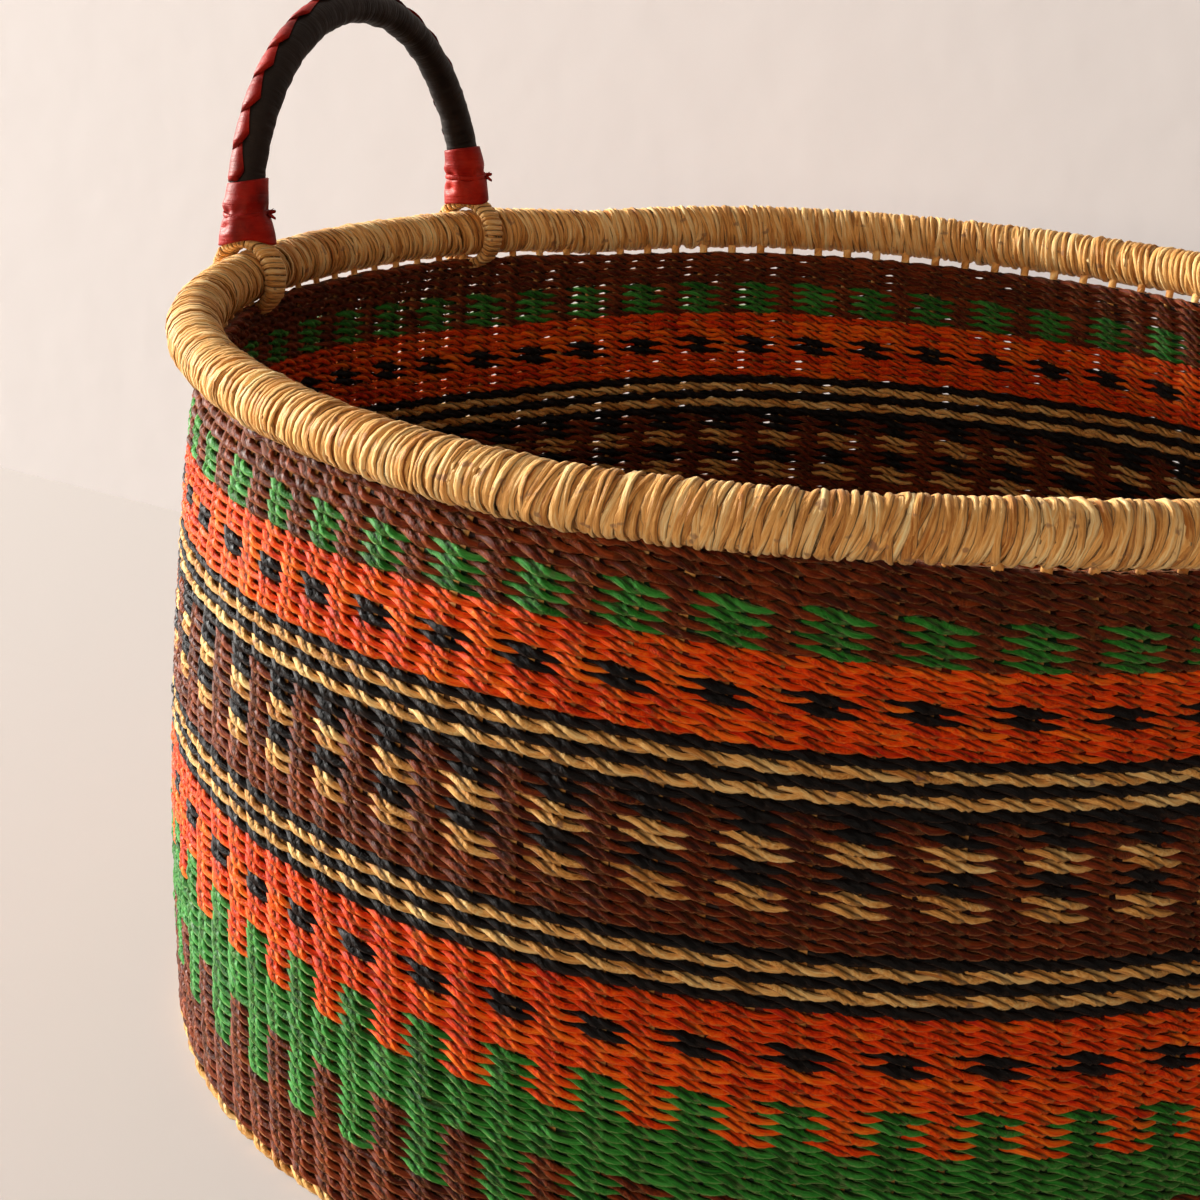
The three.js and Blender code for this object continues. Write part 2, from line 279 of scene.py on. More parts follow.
def set_bump(tree, shader, height, distance, strength):
    values = [("Height", height), ("Distance", distance), ("Strength", strength)]
    bump = add_node(tree, "ShaderNodeBump", values)
    tree.links.new(bump.outputs["Normal"], shader.inputs["Normal"])


def grain_and_place(tree):
    """A point's grain, and where it is on the basket."""
    grain = add_node(tree, "ShaderNodeAttribute", attribute_name="grain").outputs["Vector"]
    place = add_node(tree, "ShaderNodeTexCoord").outputs["Object"]
    return grain, place


# The straw. Its colour is a sum of streaks along each straw, a tone for each straw and a cloud
# of uneven dye over the wall, and its grooves are painted darker as painted shade. Places round a
# straw run from a groove at 0 over a crest at a quarter to the next groove at a half.
STREAK_SCALE = (0.11, 10.0, 31.0)
STREAK_SHARE = 0.86
TONE_SHARE = 0.28
DYE_CLOUD_SHARE = 0.20
DYE_CLOUD_SCALE = 24.0
DYE_STOPS = (0.45, 0.67, 0.90)
CREST = 0.25
# Painted shade in the grooves: where it starts and where it is full off the crest, its share, and
# how dark it is against the dark straw
GROOVE_SHADE_FROM = 0.17
GROOVE_SHADE_FULL = 0.24
GROOVE_SHADE_SHARE = 0.95
GROOVE_SHADE_DARKNESS = 0.35
FLECK_SCALE = 230.0
FLECK_FROM = 0.66
FLECK_FULL = 0.72
FLECK_SHARE = 0.7
STRAW_ROUGHNESS = (0.38, 0.6)
STRAW_BUMP = 1.1 * MM


def straw_material(name, color, pale, dark, fleck, shine):
    """Dyed grass, with painted shade in the groove between two plies, and the odd fleck."""
    tint = (*shine, 1.0)
    material, tree, shader = new_shader(
        name, Specular_IOR_Level=0.10, Sheen_Weight=0.4, Sheen_Roughness=0.35, Sheen_Tint=tint
    )
    grain, place = grain_and_place(tree)
    parts = add_node(tree, "ShaderNodeSeparateXYZ", [(0, grain)]).outputs
    fibre = noise_of(tree, stretched(tree, grain, STREAK_SCALE), 1.0, 4.0, 0.62)
    cloud = noise_of(tree, place, DYE_CLOUD_SCALE)
    streaked = math_of(tree, "MULTIPLY", fibre, STREAK_SHARE)
    toned = math_of(tree, "MULTIPLY", parts[2], TONE_SHARE)
    clouded = math_of(tree, "MULTIPLY", cloud, DYE_CLOUD_SHARE)
    factor = math_of(tree, "ADD", math_of(tree, "ADD", streaked, toned), clouded)
    base = ramp_of(tree, factor, DYE_STOPS, (dark, color, pale))
    # Painted shade: the farther a place is from the crest, the darker it is painted
    off_crest = math_of(tree, "ABSOLUTE", math_of(tree, "SUBTRACT", parts[1], CREST), 0.0)
    groove_shade = range_of(tree, off_crest, GROOVE_SHADE_FROM, GROOVE_SHADE_FULL, 0.0, GROOVE_SHADE_SHARE)
    base = mix_of(tree, groove_shade, base, linear(tuple(GROOVE_SHADE_DARKNESS * v for v in dark)))
    spots = noise_of(tree, place, FLECK_SCALE)
    spotted = range_of(tree, spots, FLECK_FROM, FLECK_FULL, 0.0, FLECK_SHARE)
    base = mix_of(tree, spotted, base, linear(fleck))
    tree.links.new(base, shader.inputs["Base Color"])
    tree.links.new(range_of(tree, fibre, 0.3, 0.7, *STRAW_ROUGHNESS), shader.inputs["Roughness"])
    set_bump(tree, shader, fibre, STRAW_BUMP, 0.85)
    return material


# The leather: uneven dye, wrinkles across the piece and a fine grain
HIDE_CLOUD_SCALE = 60.0
HIDE_STOPS = (0.28, 0.5, 0.78)
WRINKLE_SCALE = (0.55, 2.2, 1.0)
WRINKLE_SHARE = 1.6
PORE_SCALE = 420.0
PORE_SHARE = 0.5
HIDE_ROUGHNESS_SPREAD = 0.12
HIDE_BUMP = 0.6 * MM


def leather_material(name, color, pale, dark, roughness, shine):
    material, tree, shader = new_shader(name, Specular_IOR_Level=0.2, Specular_Tint=(*shine, 1.0))
    grain, place = grain_and_place(tree)
    cloud = noise_of(tree, place, HIDE_CLOUD_SCALE, 3.0, 0.6)
    base = ramp_of(tree, cloud, HIDE_STOPS, (dark, color, pale))
    tree.links.new(base, shader.inputs["Base Color"])
    wrinkles = noise_of(tree, stretched(tree, grain, WRINKLE_SCALE), 1.0, 3.0, 0.55)
    pores = noise_of(tree, place, PORE_SCALE, 4.0, 0.65)
    wrinkled = math_of(tree, "MULTIPLY", wrinkles, WRINKLE_SHARE)
    height = math_of(tree, "ADD", wrinkled, math_of(tree, "MULTIPLY", pores, PORE_SHARE))
    spread = (roughness - HIDE_ROUGHNESS_SPREAD, roughness + HIDE_ROUGHNESS_SPREAD)
    tree.links.new(range_of(tree, pores, 0.0, 1.0, *spread), shader.inputs["Roughness"])
    set_bump(tree, shader, height, HIDE_BUMP, 0.6)
    return material


# Each dye's own colour and its pale and dark straws, and then its flecks and its shine
DYES = {
    "natural": (
        (0.90, 0.67, 0.37), (0.98, 0.85, 0.58), (0.64, 0.39, 0.16),
        (0.46, 0.33, 0.30), (1.0, 0.80, 0.45),
    ),
    "orange": (
        (0.94, 0.28, 0.008), (1.0, 0.50, 0.11), (0.68, 0.09, 0.003),
        (0.80, 0.42, 0.14), (1.0, 0.52, 0.16),
    ),
    "green": (
        (0.13, 0.46, 0.13), (0.26, 0.60, 0.25), (0.04, 0.26, 0.05),
        (0.34, 0.50, 0.28), (0.70, 0.95, 0.38),
    ),
    "brown": (
        (0.36, 0.115, 0.023), (0.56, 0.24, 0.09), (0.20, 0.042, 0.006),
        (0.44, 0.24, 0.10), (0.95, 0.45, 0.20),
    ),
    "black": (
        (0.025, 0.017, 0.015), (0.066, 0.047, 0.04), (0.008, 0.005, 0.005),
        (0.17, 0.115, 0.08), (0.15, 0.10, 0.085),
    ),
    "binding": (
        (0.94, 0.71, 0.41), (1.0, 0.91, 0.68), (0.68, 0.42, 0.18),
        (0.56, 0.39, 0.30), (1.0, 0.80, 0.50),
    ),
}
STRAWS = {dye: straw_material(f"straw_{dye}", *colors) for dye, colors in DYES.items()}
LEATHER_BLACK = leather_material(
    "leather_black",
    (0.06, 0.04, 0.032), (0.105, 0.075, 0.06), (0.025, 0.018, 0.015), 0.6, (0.8, 0.62, 0.52),
)
LEATHER_RED = leather_material(
    "leather_red",
    (0.55, 0.075, 0.05), (0.72, 0.17, 0.10), (0.32, 0.02, 0.02), 0.52, (1.0, 0.55, 0.42),
)


# The camera, at the photo's angle

CAMERA_PLACE = (347.83, -729.71, 413.13)
CAMERA_YAW = -0.55035
CAMERA_PITCH = -0.32177
CAMERA_ROLL = 0.05615
CAMERA_LENS = 71.99
CAMERA_SENSOR = 36
CAMERA_NEAR = 0.01


def add_camera():
    flat = math.cos(CAMERA_PITCH)
    x, y = math.sin(CAMERA_YAW) * flat, math.cos(CAMERA_YAW) * flat
    forward = Vector((x, y, math.sin(CAMERA_PITCH)))
    level = Vector((math.cos(CAMERA_YAW), -math.sin(CAMERA_YAW), 0))
    above = level.cross(forward)
    right = level * math.cos(CAMERA_ROLL) + above * math.sin(CAMERA_ROLL)
    up = above * math.cos(CAMERA_ROLL) - level * math.sin(CAMERA_ROLL)
    turn = Matrix((right, up, -forward)).transposed().to_4x4()
    data = bpy.data.cameras.new("camera")
    data.lens = CAMERA_LENS
    data.sensor_width = CAMERA_SENSOR
    data.clip_start = CAMERA_NEAR
    camera = bpy.data.objects.new("camera", data)
    camera.matrix_world = Matrix.Translation(Vector(CAMERA_PLACE) * MM) @ turn
    bpy.context.scene.collection.objects.link(camera)
    bpy.context.scene.camera = camera


# The weave

# One strand is two plies side by side. These are the turns and reaches of its section's points,
# from the groove between the plies over a shoulder, a crest and a shoulder to the other groove.
SECTION_TURNS = np.arange(8) * math.pi / 4
SECTION_REACH = np.array([0.34, 0.85, 1.0, 0.85, 0.34, 0.85, 1.0, 0.85])
# Round a strand the grooves are at 0 and a half, where the straw material paints shade
SECTION_AROUND = np.abs(np.arange(8) / 8 - 0.5)
SECTION_PLY = np.array([0, 1, 1, 1, 0, -1, -1, -1])

# A strand's reach through the wall and its half thickness, in the wall and in the base
SAMPLES_PER_STITCH = 7
STRAND_REACH = 1.75
STRAND_HALF = 2.0
BASE_SAMPLES = 3
BASE_REACH = 1.1
BASE_HALF = 2.0

# A stitch is in sight this many stakes to each side of its own stake, and has slanted down by
# this share of the row's pitch when it goes out of sight.
IN_SIGHT = 0.57
SLANT = 0.33

# A strand's half height, as a share of the row's pitch, at its thinnest and what a stitch adds
THIN_HEIGHT = 0.45
STITCH_SWELL = 0.09

# How far a strand strays from stitch to stitch: along, through the wall, up, in height, in twist
STRAYS = {"along": 0.05, "through": 0.2, "up": 0.1, "height": 0.07, "twist": 0.18}

# The tones of the straws, how a straw's tone strays along it, and how its two plies differ
TONES = (0.12, 0.88)
TONE_STRAY = 0.16
PLY_TONE = 0.1
PLY_TONE_STRAY = 0.14
STITCHES_PER_STRAW = 9

# The hidden inner halves of the strands close the wall but for a pinhole here and there. The
# shares of stitches that have one are given at some stakes.
FILL_SAMPLES = np.array([0, 0.36, 0.5, 0.64])
FILL_HALF = 0.35
FILL_HEIGHT = 0.48
FILL_HEIGHT_AT_PINHOLE = 0.22
PINHOLE_STAKES = (0, 22, 34, 44, 58, 66, 112)
PINHOLE_SHARES = (0.06, 0.22, 0.26, 0.55, 0.6, 0.06, 0.06)
PINHOLE_WIDTH = 0.09
PINCHED_THINNER = 0.5
PINCHED_FLATTER = 0.65

# How far hand-set stakes stray from even places, in stakes, and lean between two heights
DRIFT_STAKES = (-56, -38, -35, -30, -20, -14, 10, 27, 36, 56)
DRIFTS = (-1.05, -1.05, -0.62, -0.78, -0.05, 0.2, -0.6, -1.5, -1.2, -1.05)
STAKE_LEAN = -0.25
LEAN_BOTTOM = 90.0
LEAN_TOP = 220.0

# Loose waves of the rows: size, waves in a round, start, and the height in which they move on
ROW_WAVES = ((1.0, 2, 0.6, 90.0), (0.6, 5, 2.1, -60.0))

# How far the upper rows rise and fall at some stakes
SWAY_STAKES = (-56, -34, -24, -14, 0, 27, 33, 40, 56)
SWAYS = (0.8, 0.8, 1.8, -1.6, -1.0, -1.8, -0.6, 1.5, 0.8)
SWAY_BOTTOM = 150.0

# How far the rows of the far wall sag at some stakes: low down, in the upper bands, and at the
# top, where they follow the rim. One sag passes into the next between two heights.
SAG_STAKES = (22, 28, 31, 35, 39, 43, 46, 50, 54, 58, 62)
LOW_SAGS = (0, -1.2, -2.6, -3.8, -5.0, -5.4, -7.1, -8.8, -7.5, -4.0, 0)
HIGH_SAGS = (1.2, 0.6, -0.5, -1.1, -1.3, -2.1, -3.2, -4.7, -3.1, -1.5, 0)
TOP_SAGS = (1.2, 1.1, 0.0, -0.9, -1.7, -2.2, -2.8, -1.9, -0.6, -0.2, 0)
LOW_SAG_LEVELS = (30.0, 110.0)
HIGH_SAG_LEVELS = (178.0, 216.0)
TOP_SAG_LEVELS = (212.0, WALL_TOP)

# The rim is not quite level: how far it rises and falls, at some stakes
RIM_STAKES = (-56, -38, -26, -17, -8, 8, 32, 36, 40, 43, 46, 49, 56)
RIM_SWAYS = (0, 0, -2.2, 1.3, 0, 0, -0.3, 0.1, 0.0, -1.2, -2.7, -0.2, 0)

# The top of the wall draws in and up under the rim. Beside the loops it is drawn in less, which
# leaves the cuffs room when a handle swings inward.
PUSHED_UP = 1.6
DRAWN_IN = 3.0
DRAW_BOTTOM = 217.0
DRAW_STAKES = (0, 2.4, 4.3, 7.0, 9.0, 47.0, 49.0, 51.7, 53.6, 56)
DRAW_SHARES = (1, 1, 0.45, 0.45, 1, 1, 0.45, 0.45, 1, 1)


def smooth(value, low, high):
    share = np.clip((value - low) / (high - low), 0, 1)
    return share * share * (3 - 2 * share)


def wall_radius(height, turn):
    """Outer radius of the wall at a height and an angle."""
    share = np.clip(height / WALL_TOP, 0, 1)
    foot = FOOT_FLARE * (1 - share) * (1 - share / BELLY_SHARE)
    belly = BELLY_FLARE * share * (1 - share) / (BELLY_SHARE * (1 - BELLY_SHARE))
    from_side = np.abs(from_front(turn / STAKE_ANGLE))
    drawn = DRAWN_IN * np.interp(from_side, DRAW_STAKES, DRAW_SHARES)
    return RIM_RADIUS + foot + belly - drawn * smooth(height, DRAW_BOTTOM, WALL_TOP)


def from_front(place):
    """A place counted in stakes as one between half a round back and half a round on."""
    return (place + STAKES / 2) % STAKES - STAKES / 2


def stake_turn(place, height):
    """Angle of a place counted in stakes, on stakes that drift round the basket and lean."""
    drift = np.interp(from_front(place), DRIFT_STAKES, DRIFTS)
    risen = np.clip((height - LEAN_BOTTOM) / (LEAN_TOP - LEAN_BOTTOM), 0, 1)
    return STAKE_ANGLE * (place + drift + STAKE_LEAN * np.sin(math.pi * risen))


def row_sway(place, height):
    """How far a row strays up or down on its way round."""
    turn = place * STAKE_ANGLE
    loose = np.sin(math.pi * np.clip(height / WALL_TOP, 0, 1))
    waves = sum(
        size * np.sin(count * turn + start + height / run) for size, count, start, run in ROW_WAVES
    )
    high = np.interp(from_front(place), SWAY_STAKES, SWAYS) * smooth(height, SWAY_BOTTOM, WALL_TOP)
    place = place % STAKES
    low_sag = np.interp(place, SAG_STAKES, LOW_SAGS)
    high_sag = np.interp(place, SAG_STAKES, HIGH_SAGS)
    top_sag = np.interp(place, SAG_STAKES, TOP_SAGS)
    sag = low_sag * smooth(height, *LOW_SAG_LEVELS)
    sag = sag + (high_sag - low_sag) * smooth(height, *HIGH_SAG_LEVELS)
    sag = sag + (top_sag - high_sag + PUSHED_UP) * smooth(height, *TOP_SAG_LEVELS)
    return loose * waves + high + sag


def row_stretch(place, height):
    """How much taller or lower a row is where the rows above and below it stray apart."""
    return 1 + (row_sway(place, height + 2) - row_sway(place, height - 2)) / 4


def rim_sway(turn):
    return np.interp(from_front(turn / STAKE_ANGLE), RIM_STAKES, RIM_SWAYS)


def wobble(places, stitches, size):
    """A random value that changes from stitch to stitch and runs smoothly between them."""
    values = rng.normal(0, size, stitches)
    return np.interp(places % stitches, np.arange(stitches + 1), np.append(values, values[0]))


def straw_tones(places, stitches):
    """The tone of the straw at each place: a new straw comes in every so many stitches."""
    count = max(1, stitches // STITCHES_PER_STRAW)
    edges = np.sort(rng.uniform(0, stitches, count))
    tones = rng.uniform(*TONES, count)
    run = tones[np.searchsorted(edges, places % stitches) % count]
    stray = wobble(places, stitches, TONE_STRAY)
    plies = SECTION_PLY * (PLY_TONE + wobble(places, stitches, PLY_TONE_STRAY))[:, None]
    return np.clip((run + stray)[:, None] + plies, 0, 1)


def twined_strand(stitches, samples, pitch, reach, half, odd, pinholes):
    """One strand of a twined row: how far each point lies through the wall and across the row.

    The strand winds half a turn round its partner at each stake, and its plies twist with it,
    so that the groove between them crosses every stitch. In sight it slants evenly down, and
    behind the wall it climbs back to where it comes out again. Halfway to the next stake it is
    thinner where there is a pinhole.
    """
    places = np.arange(stitches * samples) / samples

    def stray(kind):
        return wobble(places, stitches, STRAYS[kind])

    phase = places - odd + stray("along")
    swing = math.pi * phase
    depth = reach * np.cos(swing) + stray("through")
    from_outside = (phase + 1) % 2 - 1
    slant = np.interp(from_outside, (-1, -IN_SIGHT, IN_SIGHT, 1), (0, SLANT, -SLANT, 0))
    rise = pitch * slant + stray("up")
    tall = pitch * (THIN_HEIGHT + STITCH_SWELL * np.abs(np.cos(swing))) * (1 + stray("height"))
    between = ((places % 1 - 0.5) / PINHOLE_WIDTH) ** 2
    pinched = np.exp(-between) * pinholes[places.astype(int)]
    tall = tall * (1 - PINCHED_THINNER * pinched)
    rise = rise * (1 - PINCHED_FLATTER * pinched)
    twist = swing + 0.5 * np.sin(2 * swing) + stray("twist")
    turns = SECTION_TURNS[None, :] - twist[:, None]
    half = (half * (1 - PINCHED_THINNER * pinched))[:, None]
    through = depth[:, None] + half * SECTION_REACH * np.cos(turns)
    across = rise[:, None] + tall[:, None] * SECTION_REACH * np.sin(turns)
    return places, through, across


def wall_strand(height, pitch, odd, pinholes):
    """Points and grain of one strand of the wall."""
    places, through, across = twined_strand(
        STAKES, SAMPLES_PER_STITCH, pitch, STRAND_REACH, STRAND_HALF, odd, pinholes
    )
    place = places[:, None]
    turn = stake_turn(place, height)
    level = height + across * row_stretch(place, height) + row_sway(place, height)
    level = np.maximum(level, 0)
    radius = wall_radius(level, turn) - WALL_MIDDLE + through
    along = place * STAKE_ANGLE * RIM_RADIUS
    tone = straw_tones(places, STAKES)
    return level_ring(radius, turn, level), grain_of(along, SECTION_AROUND, tone, through.shape)


def row_fill(height, pitch, pinholes):
    """Points and grain of the hidden middle of one row: a flat strip, low at each pinhole."""
    places = (np.arange(STAKES)[:, None] + FILL_SAMPLES).ravel()
    open_here = (places % 1 == 0.5) & pinholes[places.astype(int)]
    place = places[:, None]
    tall = np.where(open_here, FILL_HEIGHT_AT_PINHOLE, FILL_HEIGHT)[:, None]
    tall = tall * pitch * row_stretch(place, height)
    turn = stake_turn(place, height)
    level = height + tall * np.array([-1, 1, 1, -1]) + row_sway(place, height)
    level = np.maximum(level, 0)
    radius = wall_radius(level, turn) - WALL_MIDDLE + FILL_HALF * np.array([-1, -1, 1, 1])
    # The strip's place round it is 0, a groove, so all of it takes the grooves' painted shade
    grain = grain_of(place * STAKE_ANGLE * RIM_RADIUS, 0.0, 0.2, level.shape)
    return level_ring(radius, turn, level), grain


def row_pitch(node):
    """The height of one row of a band: thicker at the foot and tighter near the rim."""
    if node == "foot_ring":
        return FOOT_HEIGHT
    return UPPER_ROW_HEIGHT if node in TIGHT_BANDS else ROW_HEIGHT


def add_wall():
    """The rows from the foot up, in one piece for each dye of a band."""
    bottom = 0.0
    pinhole_shares = np.interp(np.arange(STAKES), PINHOLE_STAKES, PINHOLE_SHARES)
    for node, runs in BANDS:
        strands = {}
        fills = {}
        pitch = row_pitch(node)
        for rows, even_dye, odd_dye in runs:
            for _ in range(rows):
                height = bottom + pitch / 2
                pinholes = rng.random(STAKES) < pinhole_shares
                for odd, dye in ((0, even_dye), (1, odd_dye)):
                    strands.setdefault(dye, []).append(wall_strand(height, pitch, odd, pinholes))
                fills.setdefault(even_dye, []).append(row_fill(height, pitch, pinholes))
                bottom += pitch
        for prefix, kinds in (("woven", strands), ("inside", fills)):
            for dye, made in kinds.items():
                woven_piece(f"{prefix}_{node}_{dye}", made, dye, node)


# The stakes

STAKE_WIDTH = 3.4
STAKE_DEPTH = 1.8
STAKE_STEPS = 26
STAKE_SIDES = 8
STAKE_BOTTOM = 2.0
STAKE_TOP = RIM_HEIGHT - 4
STAKE_TONES = (0.0, 0.4)

# Inside the wall a stake gets painted shade as dark as a groove's, but for an unshaded spot here
# and there
STAKE_SHADE = 0.22
SHADE_TOP = WALL_TOP - 2
UNSHADED_SHARE = 0.04


def add_stakes():
    """The upright stakes, from the foot through the wall and the open gap into the rim."""
    levels = by_step(np.linspace(STAKE_BOTTOM, STAKE_TOP, STAKE_STEPS))
    turn = stake_turn(by_tube(np.arange(STAKES)), levels)
    ring = by_side(circle(STAKE_SIDES))
    bent = np.clip((levels - WALL_TOP) / (RIM_HEIGHT - WALL_TOP), 0, 1)
    middle = wall_radius(levels, turn) - WALL_MIDDLE * (1 - bent)
    radius = middle + STAKE_DEPTH / 2 * np.cos(ring)
    sideways = STAKE_WIDTH / 2 * np.sin(ring)
    x = radius * np.cos(turn) - sideways * np.sin(turn)
    y = radius * np.sin(turn) + sideways * np.cos(turn)
    shape = (STAKES, STAKE_STEPS, STAKE_SIDES)
    points = np.stack([x, y, np.broadcast_to(levels, shape)], -1)
    tone = rng.uniform(*STAKE_TONES, (STAKES, 1, 1))
    shade_here = rng.random((STAKES, STAKE_STEPS, 1)) > UNSHADED_SHARE
    # Painted shade: below the wall's top, the stake's place round it is moved off the crest into
    # the groove's dark
    shaded = STAKE_SHADE * (levels < SHADE_TOP) * shade_here
    grain = grain_of(levels, CREST - shaded + 0.05 * np.sin(ring), tone, shape)
    straw_piece("stakes", points, grain, "basket", "rim_core", looped=False)


# The base

BASE_PITCH = 5.4
BASE_PARTS = [
    ("base_start_disc", 0.0, BASE_START_RADIUS, "natural"),
    ("base_weave_inner", BASE_START_RADIUS, BASE_INNER_RADIUS, "brown"),
    ("base_weave_outer", BASE_INNER_RADIUS, RIM_RADIUS + FOOT_FLARE - WALL_THICKNESS, "natural"),
]

# A round has at most this many stitches for each round inside it
STITCHES_PER_INNER_ROUND = 5.6
FEWEST_STITCHES = 7
CENTRE_RADIUS = 0.5


def base_stitches(radius):
    """Stitches in a round of the base: the stakes double in number as the base grows."""
    count = STAKES
    while count > FEWEST_STITCHES and radius < BASE_PITCH * count / STITCHES_PER_INNER_ROUND:
        count //= 2
    return count - count % 2


def base_strand(radius, odd):
    """Points and grain of one strand of the base."""
    stitches = base_stitches(radius)
    no_pinholes = np.zeros(stitches, dtype=bool)
    places, through, across = twined_strand(
        stitches, BASE_SAMPLES, BASE_PITCH, BASE_REACH, BASE_HALF, odd, no_pinholes
    )
    turn = (places * FULL_TURN / stitches)[:, None]
    level = np.clip(BASE_THICKNESS / 2 - through, 0, BASE_THICKNESS)
    reach = np.maximum(radius + across, CENTRE_RADIUS)
    grain = grain_of(turn * radius, SECTION_AROUND, straw_tones(places, stitches), through.shape)
    return level_ring(reach, turn, level), grain


def add_base():
    """The rounds of each part of the base, in one piece for each number of points in a round."""
    for node, inner, outer, dye in BASE_PARTS:
        rounds = round((outer - inner) / BASE_PITCH)
        pitch = (outer - inner) / rounds
        groups = {}
        for i in range(rounds):
            radius = inner + pitch * (i + 0.5)
            for odd in (0, 1):
                strand = base_strand(radius, odd)
                groups.setdefault(len(strand[0]), []).append(strand)
        for size, made in groups.items():
            woven_piece(f"{node}_woven_{size}", made, dye, node)


# The rim

# The section of a flat straw or strap, from one edge over its outside and back
LENS_ACROSS = np.array([-1.0, -0.6, 0.0, 0.6, 1.0, 0.55, 0.0, -0.55])
LENS_OUT = np.array([0.0, 0.8, 1.0, 0.8, 0.0, -0.55, -0.7, -0.55])
# Round the section the edges sit where a straw's grooves are, so straw laid with it gets painted
# shade along both edges
LENS_AROUND = np.array([0.02, 0.15, 0.25, 0.35, 0.48, 0.35, 0.25, 0.15])

# Wide straws below, and above them narrower ones that cross in gaps: the turns of each layer,
# its steps in a turn, depth under the rim's outside, widths and straying
BINDINGS = {
    "rim_lower_binding": (420, 12, 1.35, (2.2, 2.7), 0.3),
    "rim_binding": (730, 17, 0.55, (1.05, 1.5), 1.3),
}
WRAP_START_STRAY = 0.12
WRAP_LEAN = 1.9
WRAP_LEAN_STRAY = 0.45
WRAP_THICKNESSES = (0.5, 0.8)
WRAP_TILT = 0.14
WRAP_TILT_STRAY = 0.14
WRAP_LIFTS = (-0.35, 0.1)
WRAP_PROUD = 0.5
WRAP_TONE_STRAY = 0.28
STRAW_LENGTH = 400

# Waves in which a turn strays: pairs of a size and a number of waves
WIDTH_WAVES = ((0.13, 2), (0.1, 3))
TILT_WAVES = ((0.18, 2), (0.1, 3))
LIFT_WAVES = ((0.2, 2),)
PATH_WAVES = ((0.45, 1), (0.35, 2), (0.2, 3))

# The bundle of bent-over stakes inside
BUNDLE_STRAWS = 10
BUNDLE_STEPS = 224
BUNDLE_SIDES = 6
BUNDLE_WINDINGS = 9
BUNDLE_RADIUS = 4.9
BUNDLE_STRAW_RADIUS = 1.9
BUNDLE_TONES = (0.2, 0.8)


def rim_place(inward, down, turn):
    """A point beside the rim's middle line."""
    return level_ring(RIM_RADIUS - inward, turn, RIM_HEIGHT + rim_sway(turn) - down)


def add_rim_layer(label, turns, steps, depth, widths, straying):
    """Flat straw wound round the rim: each turn strays, narrows and tips on its own. A turn
    starts straight below the rim's middle and comes up on the inner side."""
    ring = by_step(circle(steps))

    def strayed(value, waves):
        """The value with waves added, each with its own size and start for each turn."""
        for size, count in waves:
            sizes = by_tube(rng.normal(0, size, turns))
            starts = by_tube(rng.uniform(0, FULL_TURN, turns))
            value = value + sizes * np.sin(count * ring + starts)
        return value

    start = by_tube(np.arange(turns) + rng.normal(0, WRAP_START_STRAY, turns)) * FULL_TURN / turns
    lean = by_tube(WRAP_LEAN + rng.normal(0, WRAP_LEAN_STRAY * straying, turns))
    width = by_tube(rng.uniform(*widths, turns)) * strayed(1, WIDTH_WAVES)
    thick = by_tube(rng.uniform(*WRAP_THICKNESSES, turns))
    tilt = strayed(by_tube(rng.normal(WRAP_TILT, WRAP_TILT_STRAY, turns)), TILT_WAVES)
    lift = strayed(by_tube(rng.uniform(*WRAP_LIFTS, turns)), LIFT_WAVES)
    across = width * LENS_ACROSS
    out = thick * LENS_OUT
    sideways = across * np.cos(tilt) - out * np.sin(tilt) - lean * np.cos(ring)
    sideways = sideways + straying * strayed(0, PATH_WAVES)
    radius = RIM_OUTER - depth + lift + out * np.cos(tilt) + across * np.sin(tilt)
    radius = np.minimum(radius, RIM_OUTER + WRAP_PROUD)
    points = rim_place(radius * np.sin(ring), radius * np.cos(ring), start + sideways / RIM_RADIUS)
    tone = by_tube(np.clip(rng.normal(0.5, WRAP_TONE_STRAY, turns), 0, 1))
    along = ring * RIM_OUTER + by_tube(rng.uniform(0, STRAW_LENGTH, turns))
    grain = grain_of(along, LENS_AROUND, tone, points.shape[:3])
    straw_piece(label, points, grain, "basket", "rim_wrap")


def add_rim():
    """The layers of binding and the bundle of straws inside them."""
    for label, layer in BINDINGS.items():
        add_rim_layer(label, *layer)
    turn = by_step(circle(BUNDLE_STEPS))
    spiral = by_tube(circle(BUNDLE_STRAWS)) + BUNDLE_WINDINGS * turn
    section = by_side(circle(BUNDLE_SIDES))
    inward = BUNDLE_RADIUS * np.sin(spiral) + BUNDLE_STRAW_RADIUS * np.sin(section)
    down = BUNDLE_RADIUS * np.cos(spiral) + BUNDLE_STRAW_RADIUS * np.cos(section)
    points = rim_place(inward, down, turn)
    tone = by_tube(np.linspace(*BUNDLE_TONES, BUNDLE_STRAWS))
    # Round each bundle straw the places run past the grooves' values on more than half of it, which
    # the straw material paints in shade
    grain = grain_of(turn * RIM_RADIUS, section / FULL_TURN, tone, points.shape[:3])
    straw_piece("rim_bundle", points, grain, "basket", "rim_core")


# The handles

ARCH_POINTS = 2000


def to_basket(points, side):
    """Moves points from a handle's own frame, X outward and the hinge along Y, to the basket's."""
    x = points[..., 0] * math.cos(HANDLE_LEAN) + points[..., 2] * math.sin(HANDLE_LEAN) + HINGE_X
    z = points[..., 2] * math.cos(HANDLE_LEAN) - points[..., 0] * math.sin(HANDLE_LEAN) + RIM_HEIGHT
    return np.stack([side * x, side * points[..., 1], z], -1)


